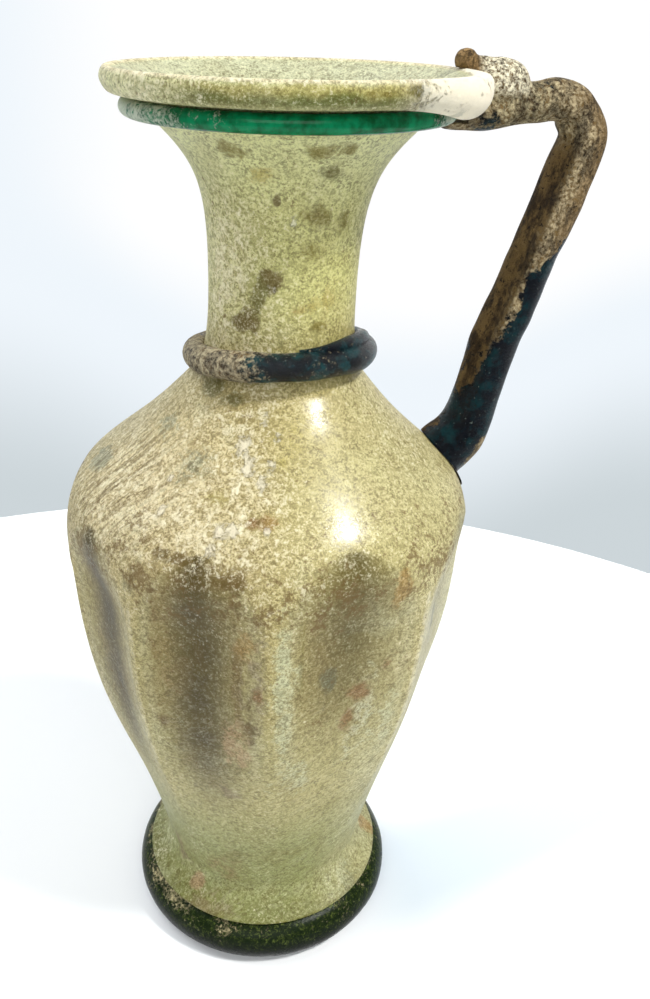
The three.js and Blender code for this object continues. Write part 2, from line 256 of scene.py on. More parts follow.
def unit(lines):
    return lines / np.linalg.norm(lines, axis=1)[:, None]


def rounded(corners, steps):
    """A Catmull-Rom curve through the corners."""
    padded = np.vstack([2 * corners[0] - corners[1], corners, 2 * corners[-1] - corners[-2]])
    points = []
    for a, b, c, d in zip(padded, padded[1:], padded[2:], padded[3:]):
        t = np.linspace(0, 1, steps, endpoint=False)[:, None]
        points.append(0.5 * (2 * b + (c - a) * t + (2 * a - 5 * b + 4 * c - d) * t ** 2
                             + (3 * b - a - 3 * c + d) * t ** 3))
    return np.vstack(points + [corners[-1:]])


def inner_wall():
    """The outer wall moved in by the glass, from the mouth down to the floor."""
    along = unit(np.gradient(WALL_POINTS, axis=0))
    inner = WALL_POINTS + WALL * np.stack([-along[:, 1], along[:, 0]], 1)
    return inner[::-3]


def floor_profile():
    inside = WAIST_RADIUS - WALL
    return bezier(
        (inside, WAIST), (inside, KICK + 0.4 * WALL), (0.45 * WAIST_RADIUS, KICK + WALL), (0, KICK + WALL), 8)


# Shape of the body round its axis

def flute_share(angle, height):
    """Where a point lies across its flute: 0 in the middle, 1 on a crest; no two flutes are alike."""
    drift = RIB_WANDER * (1 - cosine(2 * (angle - RIB_WANDER_TURN)))
    sway = 1.2 * sine(5 * angle) * smooth(height, 100, 40)
    turns = (angle - drift + sway - RIB_TURN) / 360 * RIBS
    return 1 - 2 * np.abs((turns + 0.5) % 1 - 0.5)


def flute_top(angle, height):
    """1 below the flutes' tops, falling to 0 at their highest points."""
    top = FLUTE_TOP - height + 2.0 * sine(3 * angle + 20)
    return np.clip(top / (0.2 * (FLUTE_TOP - FLUTE_FOOT)), 0, 1)


def hollow_at(angle, height, sharpness):
    """1 in the middle of a flute, 0 on the crests and above the tops."""
    rounding = np.sqrt(1 - (1 - flute_top(angle, height)) ** 2)
    across = flute_share(angle, height) / np.maximum(rounding, 0.01)
    return np.cos(np.minimum(across, 1) * np.pi / 2) ** sharpness * smooth(rounding, 0.01, 0.15)


def flute_at(angle, height):
    """How deep the flutes are: deepest under the rounded tops, fading out at the foot."""
    growth = smooth(height, FLUTE_FOOT, FLUTE_FOOT + 0.85 * (FLUTE_TOP - FLUTE_FOOT))
    sharpness = 0.85 + 0.6 * near(angle, RIB_TURN, 24)
    uneven = 1 + 0.1 * sine(angle * 2 + 100)
    depth = FLUTE_DEPTH * uneven * growth * smooth(flute_top(angle, height), 0, 1)
    return depth * hollow_at(angle, height, sharpness)


def lobe_at(angle):
    return near(angle, LOBE_TURN, LOBE_SPREAD)


def wander(points):
    """The slope of the mouth and the way the body leans."""
    x, y, z = points.T
    lean = BELLY_LEAN * smooth(z, WAIST, BELLY)
    lean = lean + (NECK_LEAN - BELLY_LEAN) * smooth(z, BELLY, NECK)
    lean = lean + (MOUTH_LEAN - NECK_LEAN) * smooth(z, NECK, FUNNEL)
    return np.stack([x + lean, y, z + RIM_TILT * x * smooth(z, NECK, FUNNEL)], 1)


def thread_radius():
    return wall_radius(THREAD_HEIGHT) + 1.2 * THREAD_TUBE


def shaped(radius, height, angle):
    """Points on the body at plain radii and heights."""
    thread_edge = thread_radius() + THREAD_TUBE
    swell = LOBE_SWELL * lobe_at(angle) * smooth(height, FUNNEL - 3, RIM_TOP - 0.5 * RIM_HEIGHT)
    over_thread = smooth(radius, thread_edge, thread_edge + 1)
    under_rim = smooth(RIM_TOP - height, 0, RIM_HEIGHT) * smooth(height, FUNNEL - 1, FUNNEL)
    moved = radius - np.where(radius > 1, flute_at(angle, height), 0)
    moved = moved + swell * smooth(radius, thread_edge, RIM_RADIUS)
    droop = LOBE_DROOP * lobe_at(angle) * over_thread * under_rim
    return wander(placed(moved, angle, height - droop))


# Meshes

def rings_faces(rings, count, closed):
    """Quads between rings of points; closed joins the last ring to the first."""
    faces = []
    last = rings if closed else rings - 1
    for k in range(last):
        a0, b0 = k * count, ((k + 1) % rings) * count
        for i in range(count):
            j = (i + 1) % count
            faces.append((a0 + i, a0 + j, b0 + j, b0 + i))
    return faces


def pole_faces(rings, count):
    """Triangles from the first and the last ring to two poles, which come after the rings' points."""
    total = rings * count
    faces = []
    for i in range(count):
        j = (i + 1) % count
        faces.append((total, j, i))
        faces.append((total + 1, total - count + i, total - count + j))
    return faces


def ring_grid(around, sides):
    """The angle round the axis and the angle round the section, for every point of a ring."""
    ring, side = np.meshgrid(np.arange(around) * 360 / around, sides, indexing="ij")
    return ring.ravel(), side.ravel()


def joined(parts):
    """Points and faces of several meshes as those of one."""
    points, faces, start = [], [], 0
    for part_points, part_faces in parts:
        points.append(part_points)
        faces += [tuple(start + i for i in face) for face in part_faces]
        start += len(part_points)
    return np.vstack(points), faces


def scene_object(name, data):
    made = bpy.data.objects.new(name, data)
    bpy.context.scene.collection.objects.link(made)
    return made


def mesh_object(name, points, faces):
    mesh = bpy.data.meshes.new(name)
    mesh.from_pydata(points.tolist(), [], faces)
    return scene_object(name, mesh)


def make_piece(name, points, faces, node, material):
    """A smooth mesh object, moved from round the jug's axis to the frame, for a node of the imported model."""
    piece = mesh_object(name, (points + (AXIS_X, 0, 0)) * MM, faces)
    piece.data.polygons.foreach_set("use_smooth", [True] * len(faces))
    piece.data.update()
    piece.data.materials.append(material)
    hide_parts(node)
    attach(piece, "root")
    return piece


def keep_values(piece, **values):
    """Stores a number, or a colour, for each vertex, for the material to read."""
    for name, data in values.items():
        data = np.asarray(data, float)
        if data.ndim == 1:
            layer = piece.data.attributes.new(name, "FLOAT", "POINT")
            layer.data.foreach_set("value", data)
        else:
            layer = piece.data.attributes.new(name, "FLOAT_COLOR", "POINT")
            rgba = np.hstack([data, np.ones((len(data), 1))])
            layer.data.foreach_set("color", rgba.ravel())


def angle_of(points):
    return np.degrees(np.arctan2(points[:, 1], points[:, 0]))


def pushed_out(points, least, where):
    """Moves points nearer to the axis than a least radius out to it, where that counts."""
    radius = np.hypot(points[:, 0], points[:, 1])
    scale = np.where(where & (radius < least), least / np.maximum(radius, 0.1), 1)
    return points * np.stack([scale, scale, np.ones_like(scale)], 1)


def lay_on_wall(points):
    """Moves points that would be inside the body's wall out to its surface."""
    height = points[:, 2]
    return pushed_out(points, wall_radius(height) - flute_at(angle_of(points), height) - SUNK, True)


# Shaders

class Shader:
    """A Principled material, with short names for the nodes that feed it."""

    def __init__(self, name, **plain):
        self.material = bpy.data.materials.new(name)
        self.material.use_nodes = True
        self.tree = self.material.node_tree
        self.surface = self.tree.nodes["Principled BSDF"]
        self.set(**plain)
        place = self.node("ShaderNodeTexCoord").outputs["Object"]
        self.place = self.node("ShaderNodeVectorMath", place, operation="SCALE", Scale=1 / MM).outputs[0]

    def node(self, kind, *inputs, **settings):
        made = self.tree.nodes.new(kind)
        for name, value in settings.items():
            if hasattr(made, name):
                setattr(made, name, value)
            else:
                self.feed(made.inputs[name.replace("_", " ")], value)
        for socket, value in zip(made.inputs, inputs):
            if value is not None:
                self.feed(socket, value)
        return made

    def feed(self, socket, value):
        """Links a socket, or sets its number or its colour of 0 to 255."""
        if isinstance(value, bpy.types.NodeSocket):
            self.tree.links.new(value, socket)
        elif socket.type == "RGBA":
            socket.default_value = (*linear(*value), 1)
        else:
            socket.default_value = value

    def set(self, **inputs):
        for name, value in inputs.items():
            self.feed(self.surface.inputs[name.replace("_", " ")], value)

    def value(self, name):
        return self.node("ShaderNodeAttribute", attribute_name=name).outputs["Fac"]

    def colour(self, name):
        return self.node("ShaderNodeAttribute", attribute_name=name).outputs["Color"]

    def noise(self, size, detail=4, roughness=0.6, distortion=0.0, stretch=(1, 1, 1), seed=0.0):
        """Noise between 0 and 1 with features of a size in millimetres."""
        shift = (seed, seed * 2, seed * 3)
        moved = self.node("ShaderNodeMapping", self.place, Location=shift, Scale=stretch).outputs[0]
        made = self.node(
            "ShaderNodeTexNoise", moved, Scale=1 / size, Detail=detail,
            Roughness=roughness, Distortion=distortion)
        return made.outputs["Fac"]

    def strokes(self):
        """Noise drawn out into fine lines that climb towards the handle's side."""
        drawn = self.node(
            "ShaderNodeMapping", self.place, vector_type="TEXTURE",
            Rotation=(0, np.radians(-38), 0), Scale=(6.5, 0.7, 0.7))
        return self.node("ShaderNodeTexNoise", drawn.outputs[0], Scale=1.0, Detail=2).outputs["Fac"]

    def maths(self, operation, a, b=0.0):
        return self.node("ShaderNodeMath", a, b, operation=operation).outputs[0]

    def add(self, a, b):
        return self.maths("ADD", a, b)

    def times(self, a, b):
        return self.maths("MULTIPLY", a, b)

    def less(self, a, b):
        return self.maths("SUBTRACT", a, b)

    def weighed(self, a, share, b):
        """a and b added in the shares that they have of 1."""
        return self.add(self.times(a, share), self.times(b, 1 - share))

    def over(self, field, edge, name, share, softness):
        """1 where a field is over an edge, which sinks by a share of what the mesh stores by name."""
        edge = self.less(edge, self.times(self.value(name), share))
        return self.step(field, edge, self.add(edge, softness))

    def step(self, value, low, high, to_low=0.0, to_high=1.0):
        """A soft step from to_low to to_high as value goes from low to high."""
        ends = low, high, to_low, to_high
        return self.node("ShaderNodeMapRange", value, *ends, interpolation_type="SMOOTHSTEP").outputs[0]

    def mix(self, share, a, b, kind="RGBA", first=6, result=2):
        """Two colours mixed by a share."""
        made = self.node("ShaderNodeMix", data_type=kind)
        for place, value in ((0, share), (first, a), (first + 1, b)):
            self.feed(made.inputs[place], value)
        return made.outputs[result]

    def blend(self, share, a, b):
        """Two numbers mixed by a share."""
        return self.mix(share, a, b, "FLOAT", 2, 0)

    def flakes(self, size, softness):
        """Where flaky crust lies: nowhere where the mesh's crust is 0, and everywhere at 1."""
        field = self.weighed(self.noise(size, 6, 0.68, 0.4), 0.6, self.noise(size * 6, seed=3))
        return self.over(field, 0.74, "crust", 0.5, softness)

    def finish(self, colour, roughness, height, depth):
        """The material with its colour, its roughness and a relief of a depth in millimetres."""
        relief = self.node("ShaderNodeBump", Height=height, Distance=depth * MM).outputs[0]
        self.set(Base_Color=colour, Roughness=roughness, Normal=relief)
        return self.material


def stained_tone(s, grain):
    """The stored tone, which holds painted shade and light, with ragged stains and a few patches of painted
    light in it.
    """
    blotch = s.weighed(s.noise(2.8, 7, 0.8, 0.5, seed=51), 0.72, grain)
    stained = s.times(s.over(blotch, 0.7, "stain_and_lit_patch", 0.42, 0.12), 0.86)
    return s.mix(stained, s.colour("tone"), s.colour("mark"))


def drifting(s, tone, cloud):
    """Broad clouds of earth and of paler haze over the tone."""
    drift = s.noise(19, 5, 0.7, 0.6, seed=71)
    glass = s.mix(s.times(cloud, 0.42), tone, s.mix(0.5, tone, (138, 122, 58)))
    glass = s.mix(s.step(drift, 0.52, 0.66, 0, 0.4), glass, s.mix(0.45, tone, (150, 124, 76)))
    return s.mix(s.step(drift, 0.46, 0.32, 0, 0.4), glass, s.mix(0.5, tone, (226, 228, 186)))


def grainy(s, glass, tone, lift, cluster):
    """Dark and bright grains in the glass, closer together where there is crust."""
    dusky = s.times(s.step(lift, 0.54, 0.42, 0, 0.7), s.blend(cluster, 1.0, 0.62))
    bright = s.times(s.step(lift, 0.5, 0.62), s.blend(s.value("crust"), 0.26, 0.66))
    return s.mix(bright, s.mix(dusky, glass, (78, 64, 20)), s.mix(0.6, tone, (250, 244, 200)))


def combed_over(s, glass, lines, stroke):
    """Pale and brown lines, as if combed through the crust."""
    pale = s.times(s.step(lines, 0.45, 0.36), s.times(s.value("combed"), 0.6))
    return s.mix(s.times(stroke, 0.62), s.mix(pale, glass, (226, 220, 182)), (98, 82, 46))


def pale_glass():
    """Yellow-green translucent glass under a fine grain of cream crust and brown earth."""
    s = Shader("pale_weathered_glass", Transmission_Weight=0.21, IOR=1.5, Specular_IOR_Level=0.2)
    gloss = s.value("gloss")
    grain = s.noise(0.42, 3, 0.75, seed=11)
    fine = s.noise(0.9, 5, 0.72, 0.6, seed=31)
    lift = s.weighed(grain, 0.5, fine)
    cloud = s.step(s.noise(7, 5, 0.65, 0.5, seed=7), 0.36, 0.64)
    cluster = s.step(s.noise(2.6, 6, 0.78, 0.4, seed=61), 0.42, 0.58)
    lines = s.strokes()
    stroke = s.times(s.step(lines, 0.5, 0.64), s.value("combed"))
    fleck = s.times(s.over(lift, 0.6, "crust", 0.22, 0.13), s.blend(cluster, 0.3, 1.0))
    dirt = s.weighed(s.noise(0.8, 4, 0.72, 0.5, seed=21), 0.6, s.noise(3.0, 3, seed=23))
    speck = s.over(dirt, 0.65, "grime", 0.2, 0.09)
    thick = s.weighed(s.noise(1.8, 6, 0.75, 0.8, seed=41), 0.8, grain)
    flake = s.over(thick, 0.74, "flake", 0.38, 0.1)
    # painted highlight: a pale line along the rib crests, where they catch the light
    crest = s.times(s.step(s.value("ridge"), 0.94, 0.99), s.blend(cluster, 0.12, 0.6))
    tone = stained_tone(s, grain)
    glass = grainy(s, drifting(s, tone, cloud), tone, lift, cluster)
    glass = combed_over(s, glass, lines, stroke)
    cream = s.mix(s.step(fine, 0.36, 0.62), (204, 188, 138), (250, 243, 214))
    glass = s.mix(s.times(s.times(fleck, 0.78), s.less(1.0, s.times(stroke, 0.7))), glass, cream)
    glass = s.mix(crest, glass, (248, 242, 214))
    glass = s.mix(s.times(speck, 0.74), glass, (108, 82, 42))
    glass = s.mix(s.times(flake, 0.9), glass, s.mix(0.42, (255, 250, 232), tone))
    worn = s.add(s.blend(fleck, 0.4, 0.56), s.times(s.add(speck, flake), 0.2))
    rough = s.less(s.add(worn, s.times(cloud, 0.06)), s.times(gloss, 0.26))
    height = s.add(s.times(fleck, 0.4), s.add(s.times(lift, 0.6), flake))
    height = s.less(height, s.times(stroke, 0.9))
    return s.finish(glass, rough, s.times(height, s.less(1.0, s.times(gloss, 0.8))), 0.14)


def dark_green_glass():
    """Almost black green glass with painted light shining through it, greener and with bright points towards
    the top, under grey-tan crust and buff flecks.
    """
    s = Shader("dark_green_glass", IOR=1.4, Specular_IOR_Level=0.12)
    # painted light shining through the ring: greener and with bright points higher up
    glow = s.value("glow")
    flake = s.flakes(0.7, 0.1)
    glint = s.step(s.noise(0.8, 5, 0.75, 0.8, seed=4), 0.5, 0.7)
    deep = s.mix(s.times(glow, 0.6), (6, 11, 5), (24, 38, 12))
    glass = s.mix(s.times(glint, glow), deep, (88, 100, 46))
    pale = s.mix(s.step(s.noise(0.7, seed=9), 0.35, 0.65), (92, 88, 62), (188, 176, 136))
    rough = s.add(s.blend(flake, 0.2, 0.65), s.times(s.noise(1.5, seed=6), 0.15))
    height = s.add(flake, s.times(s.noise(0.9, seed=8), 0.5))
    return s.finish(s.mix(s.times(flake, 0.9), glass, pale), rough, height, 0.14)


def dark_blue_glass(sheen):
    """Deep blue-green glass that shows where the mottled brown and buff crust has flaked off."""
    s = Shader("dark_blue_glass_crusted", IOR=1.42, Specular_IOR_Level=sheen)
    light = s.value("light")
    flake = s.flakes(0.95, 0.1)
    teal = s.step(s.noise(3.0, seed=14), 0.42, 0.66)
    mote = s.step(s.noise(0.6, 3, 0.6, seed=33), 0.66, 0.72)
    fine = s.step(s.noise(0.7, 6, 0.74, 0.2, seed=3), 0.38, 0.6)
    broad = s.step(s.noise(3.2, 6, 0.74, 0.15, (1, 1, 0.45), seed=19), 0.4, 0.58)
    pits = s.step(s.noise(1.0, 5, 0.78, 0.5, seed=27), 0.57, 0.64)
    glass = s.mix(s.times(teal, s.value("blue")), (2, 7, 18), (0, 58, 62))
    glass = s.mix(s.times(mote, 0.5), glass, (128, 140, 128))
    earth = s.mix(broad, (44, 32, 18), (112, 90, 54))
    buff = s.times(s.blend(broad, 0.45, 1.0), s.times(fine, light))
    cover = s.mix(flake, glass, s.mix(buff, earth, s.colour("tone")))
    pitted = s.mix(s.times(pits, s.less(1.5, light)), cover, (20, 17, 10))
    rough = s.add(s.blend(flake, 0.09, 0.6), s.times(fine, 0.1))
    height = s.add(s.times(flake, 0.9), s.less(s.times(fine, 0.6), s.times(pits, 0.8)))
    return s.finish(pitted, rough, height, 0.24)


def teal_glass():
    """Glossy emerald thread with greyish-white weathering at its left end."""
    s = Shader("teal_glass", IOR=1.5, Specular_IOR_Level=0.16)
    flake = s.flakes(0.55, 0.14)
    depth = s.step(s.noise(2.5, 3, seed=4), 0.3, 0.7)
    glass = s.mix(depth, (0, 76, 40), (0, 124, 78))
    weathered = s.mix(s.times(flake, 0.85), glass, (196, 202, 182))
    height = s.add(flake, s.times(s.noise(1.1, 3, seed=2), 0.4))
    return s.finish(weathered, s.blend(flake, 0.14, 0.6), height, 0.1)


# Body

OLIVE = (130, 118, 44)
MOSS = (100, 98, 44)
GOLD = (196, 182, 104)
OCHRE = (168, 132, 68)
BROWN = (92, 70, 24)
RUST = (136, 94, 50)
PINK = (188, 156, 116)
MAUVE = (136, 120, 88)
GREY = (150, 152, 124)
SLATE = (90, 94, 68)
AQUA = (206, 208, 166)

PATCHES = (
    # angle, height, half width, half height, strength, colour
    (-131.5, 92, 2.6, 20, 0.5, (146, 126, 74)), (-109.5, 88, 1.3, 16, 0.75, (120, 98, 46)),
    # the patch at -97.5 degrees and 86 mm is painted light on the flute wall that faces the window lamp
    (-104.5, 88, 2.4, 18, 0.5, (160, 146, 116)), (-97.5, 86, 2.2, 20, 0.6, (212, 208, 158)),
    (-128, 10, 7, 3.2, 0.7, (128, 118, 84)), (-104, 8.5, 9, 2.4, 0.55, (116, 118, 40)),
    (-84, 8.5, 7, 2, 0.5, (120, 116, 44)), (-52, 12, 4.5, 3.6, 0.6, (128, 134, 100)),
    (-122, 22, 6, 7, 0.5, (146, 128, 84)), (-92, 30, 8, 7, 0.4, (134, 132, 70)),
    (-92.8, 92, 0.8, 12, 0.7, (134, 124, 60)), (-112, 70, 2.2, 6, 0.7, (178, 144, 104)),
    (-72, 74, 4.5, 16, 0.5, (204, 204, 166)),
    # neck
    (-128, 169.5, 2.6, 1.4, 0.7, OLIVE), (-116, 165.4, 3, 2.4, 0.55, GOLD),
    (-88, 169.7, 3.2, 1.4, 0.85, OLIVE), (-76, 170.2, 2.4, 1.2, 0.6, OLIVE),
    (-79, 166.7, 2.2, 1.6, 0.7, MOSS), (-108, 161.7, 1, 1.8, 0.8, BROWN),
    (-80, 159.5, 3.2, 2.4, 0.75, OLIVE), (-62, 158, 2.2, 3.4, 0.5, OLIVE),
    (-82, 153.5, 3, 2.4, 0.5, OLIVE), (-112, 149, 2.2, 2.6, 0.95, BROWN),
    (-120, 146, 1.6, 2.6, 0.8, MOSS), (-131, 141.5, 3, 1.8, 0.85, BROWN),
    (-86, 144.2, 3, 1.2, 0.5, OCHRE), (-70, 146.5, 3.6, 4, 0.5, GOLD),
    (-74, 140.9, 1.6, 1.2, 0.7, OLIVE),
    # shoulder
    (-149, 129.6, 3.4, 1.8, 0.8, MOSS), (-130, 128.5, 3, 1.4, 0.6, MOSS),
    (-161, 122.2, 4, 2.6, 0.55, GREY), (-134, 119.3, 5, 3.6, 0.5, GREY),
    (179, 113, 5, 1.8, 0.8, GREY), (-99, 121.1, 1.4, 0.8, 0.7, GOLD),
    (-103, 114, 2.4, 1.2, 0.7, OCHRE), (-107, 113.9, 1.6, 1, 0.6, RUST),
    (-128, 108.6, 5, 1.2, 0.7, BROWN), (-111, 106.5, 3.4, 2.4, 0.75, BROWN),
    (-138, 102.2, 3, 3, 0.6, BROWN), (-65, 101.8, 2.2, 4, 0.7, OCHRE),
    (-92, 124, 5, 3, 0.4, GOLD), (-122, 116, 4, 1.6, 0.45, GOLD),
    # ribs
    (-107, 94.9, 1.6, 4, 0.6, OCHRE), (-104, 84, 1, 1.6, 0.75, RUST),
    (-106, 74, 1.2, 9, 0.6, BROWN), (-109, 67.4, 2.2, 4.6, 0.7, PINK),
    (-115, 53.8, 4, 2.6, 0.6, MAUVE), (-84, 85.2, 2.2, 3.2, 0.85, SLATE),
    (-74, 79.5, 2.4, 2.6, 0.85, RUST), (-77, 74, 1.8, 3, 0.7, RUST),
    (-65, 85, 1.4, 1.6, 0.7, RUST), (-36, 84.5, 2.6, 5, 0.7, SLATE),
    (-46, 66, 2.4, 3.4, 0.7, OCHRE), (-133, 71, 1.3, 2.4, 0.7, BROWN),
    # the patch at -97 degrees and 80 mm is painted light on the same lit flute wall
    (-128, 73, 1.6, 2.6, 0.5, GREY), (-97, 80, 2.2, 16, 0.6, AQUA),
    (-92, 60, 6, 8, 0.45, AQUA), (-62, 70, 4, 12, 0.45, AQUA),
    # foot
    (-140, 14, 1.8, 2.2, 0.8, PINK), (-157, 19, 2.2, 4.4, 0.7, MAUVE),
    (-12, 12, 2.4, 3, 0.75, OCHRE), (-60, 14, 5, 3, 0.4, AQUA),
    (-114, 30, 6, 4, 0.4, MOSS),
    # rim
    (-47, 176.2, 1.1, 0.9, 0.9, MOSS), (-66, 178.8, 2.6, 0.8, 0.8, MOSS),
    (-78, 178.4, 3, 0.5, 0.6, OLIVE),
    # sides out of the photograph
    (140, 88, 5, 8, 0.6, OCHRE), (62, 70, 4, 5, 0.55, MAUVE),
    (95, 150, 4, 6, 0.5, OLIVE), (30, 112, 6, 3, 0.6, BROWN),
    (110, 104, 8, 3, 0.5, BROWN), (85, 52, 6, 4, 0.4, MOSS),
    (165, 44, 5, 6, 0.4, GREY),
)

FLAKES = (
    # angle, height, half size
    (-108, 126.8, 1.3), (-101, 124.3, 1.1),
    (-117, 123, 2.2), (-103, 120.8, 1.3),
    (-106, 118.6, 1.6), (-112, 120.5, 1.8),
    (-141, 116.8, 1), (-137, 113.4, 1.4),
    (-116, 112.8, 1.8), (-113, 113, 1.4),
    (-118, 110.4, 1.6), (-103, 113.2, 1),
    (-112, 148, 1.3), (-108, 147, 0.9),
    (-98, 158.6, 1), (70, 118, 2.6),
    (150, 121, 2.2), (105, 145, 1.6),
)


def rim_lobe(angle, height):
    """Where the rim's pressed-out lobe is."""
    rise = smooth(height, FUNNEL - 2.5, FUNNEL - 0.5)
    return lobe_at(angle) ** 0.35 * rise * smooth(turned(angle, 0), -76, -66)


def ground_tone(angle, height):
    """The glass between the flutes: yellow at the mouth, straw on the ribs and greener at the foot, with
    painted light on the shoulder's front right and its left.
    """
    return layered(
        even((198, 182, 116), len(angle)),
        (smooth(height, 128, 150), (218, 216, 142)),
        (smooth(height, 158, 172), (232, 234, 172)),
        # painted light: paler on the shoulder's front right, which faces the window lamp
        (0.55 * facing(angle, -62, 0.55, 1) * bump_at(height, 116, 12), (216, 212, 150)),
        (0.8 * smooth(height, 98, 60), (192, 184, 126)),
        (0.85 * smooth(height, 56, 26), (148, 157, 98)),
        (0.85 * smooth(height, 17, 9), (120, 126, 58)),
        # painted light: paler on the shoulder's left, lit from the left front
        (0.8 * near(angle, -150, 42) * bump_at(height, 114, 14), (224, 204, 158)),
    )


def flute_earth_and_shade(tone, angle, height):
    """Earth and painted shade in the flutes, brown on the left and olive elsewhere, with paler borders."""
    brown = facing(angle, -140, 0.6, 0.9)
    hollow = hollow_at(angle, height, 1)
    halo = bump_at(hollow, 0.3, 0.16) * smooth(height, 50, 70) * (height < 106)
    wide = hollow_at(angle, height, 0.6) * smooth(height, 44, 76)
    narrow = hollow_at(angle, height, 2.6) * smooth(height, 38, 70)
    return layered(
        tone,
        (0.4 * halo, (210, 208, 166)),
        # the flutes' dark cores and their brown left side: earth and painted shade
        (0.5 * wide * brown, (136, 120, 62)),
        (0.96 * narrow * brown, (54, 42, 0)),
        (0.88 * hollow * smooth(height, 56, 92) * (1 - brown), (84, 76, 34)),
        # painted light: paler on the right front, which faces the window lamp
        (0.5 * facing(angle, -28, 0.6, 1) * (height < 130), (214, 208, 160)),
    )


def rim_tone(tone, angle, height, outside, ragged):
    """The rim's fold: straw, then olive, over a pale lower line, with a cream top and lobe."""
    front = facing(angle, -88, 0.55, 0.85)
    fold = smooth(height, FUNNEL - 0.5, FUNNEL + 0.5) * front * outside
    down = RIM_TOP - height
    return layered(
        tone,
        (fold * smooth(down + 0.5 * ragged, 0.1, 0.9), (196, 188, 112)),
        (0.95 * fold * smooth(down + 0.9 * ragged, 0.9, 2.6), (106, 118, 48)),
        (smooth(down, 0.5, 0.1) * outside, (244, 234, 190)),
        (0.8 * front * bump_at(height, FUNNEL + 0.3, 0.5) * outside, (206, 202, 150)),
        (rim_lobe(angle, height) * outside, (255, 240, 212)),
    )


def away_from(angle, height, middle, level, width, tall):
    """The square of the distance on the wall from a place, in its own half sizes."""
    aside = np.radians(turned(angle, middle)) * wall_radius(height)
    return (aside / width) ** 2 + ((height - level) / tall) ** 2


def body_tone(angle, height, inner, ragged):
    """The glass's colour from place to place, with painted shade and light in it, and the colour and strength
    of its stains and of a few patches of painted light.
    """
    outside = 1 - inner
    tone = flute_earth_and_shade(ground_tone(angle, height), angle, height)
    tone = rim_tone(tone, angle, height, outside, ragged)
    mark, stain_and_lit_patch = tone, np.zeros(len(angle))
    for middle, level, width, tall, strength, colour in PATCHES:
        away = away_from(angle, height, middle, level, width, tall)
        share = strength * np.exp(-(away * (1 + 0.8 * ragged)) ** 1.3)
        mark = layered(mark, (smooth(share, 0, 0.35), colour))
        stain_and_lit_patch = np.maximum(stain_and_lit_patch, np.clip(share, 0, 1) ** 0.6 * outside)
    return layered(tone, (inner, (202, 205, 170))), mark, stain_and_lit_patch


def body_crust(angle, height, cloud):
    """How much cream crust lies on the outside: most on the shoulder's left and on the rim."""
    shoulder = bump_at(height, 116, 12)
    crust = (
        0.34 + 0.12 * smooth(height, 84, 104)
        + 0.3 * facing(angle, -160, 0.1, 0.9) * shoulder
        + 0.2 * facing(angle, 110, 0.2, 0.9) * shoulder
        + 0.34 * near(angle, -113, 24) * shoulder
        - 0.26 * near(angle, -66, 28) * bump_at(height, 120, 12)
        + 0.62 * near(angle, -146, 34) * bump_at(height, 146, 16)
        - 0.2 * smooth(height, 158, 168)
        - 0.26 * near(angle, -74, 34) * bump_at(height, 150, 16)
        - 0.32 * hollow_at(angle, height, 1) * smooth(height, 108, 102)
        + 0.24 * smooth(height, 18, 10)
        - 0.2 * near(angle, -124, 16) * bump_at(height, 103, 5)
        + 0.55 * smooth(height, RIM_TOP - 0.6, RIM_TOP - 0.1)
        + smooth(height, FUNNEL - 1, FUNNEL) * (0.05 + 0.6 * near(angle, 180, 60))
        - 0.3 * lobe_at(angle) * smooth(height, FUNNEL - 1, FUNNEL + 1))
    return np.clip(crust + 0.22 * cloud, 0, 1)


def flakes_at(angle, height):
    """Where thick white flakes of crust stand out."""
    found = np.zeros(len(angle))
    for middle, level, size in FLAKES:
        found = np.maximum(found, np.exp(-away_from(angle, height, middle, level, size, size)))
    return found


def body_grid():
    """The body's profile turned round its axis: radii, heights, angles, what is inside, and the poles."""
    outer = np.vstack([foot_profile(), WALL_POINTS[1:], rim_profile()[1:]])
    profile = np.vstack([outer, inner_wall()[1:], floor_profile()[1:]])
    middle = profile[1:-1]
    radius, height = (np.repeat(middle[:, k], BODY_AROUND) for k in (0, 1))
    angle = np.tile(np.arange(BODY_AROUND) * 360 / BODY_AROUND, len(middle))
    inside = np.repeat(np.arange(1, len(profile) - 1) >= len(outer), BODY_AROUND).astype(float)
    mouth = smooth(height, FUNNEL + 0.3, FUNNEL + 0.9) * smooth(radius, RIM_RADIUS - 1.5, RIM_RADIUS - 2.4)
    poles = np.array([(0, 0, profile[0, 1]), (0, 0, profile[-1, 1])])
    return radius, height, angle, np.maximum(inside, mouth), poles


def body_relief(points, angle, height, crust):
    """How far the glass waves and the crust stands out from the plain form."""
    lumps = noise_at(points, 2.2, 3) * 0.5 + noise_at(points, 5.0, 4)
    wobble = 0.14 * noise_at(points, 24, 2) * smooth(height, 14, 24)
    relief = (wobble + 0.07 * crust * lumps) * (1 - 0.6 * smooth(height, NECK_BASE, NECK_BASE + 4))
    return placed(relief, angle, 0 * relief)


def make_body():
    radius, height, angle, inside, poles = body_grid()
    points = shaped(radius, height, angle)
    ragged = noise_at(points, 3, 9)
    crust = body_crust(angle, height, noise_at(points, 16, 1)) * (1 - inside) + 0.25 * inside
    points = points + body_relief(points, angle, height, crust)
    rings = len(points) // BODY_AROUND
    faces = rings_faces(rings, BODY_AROUND, False) + pole_faces(rings, BODY_AROUND)
    piece = make_piece(
        "glass_body", np.vstack([points, poles]), faces, "body", pale_glass())
    grime = 0.3 + 0.3 * noise_at(points, 9, 8) + 0.5 * bump_at(height, 103, 8) * (1 - inside)
    grime = np.clip(grime - 0.2 * smooth(height, 60, 40), 0, 1)
    paint_body(piece, angle, height, inside, ragged, crust, grime)


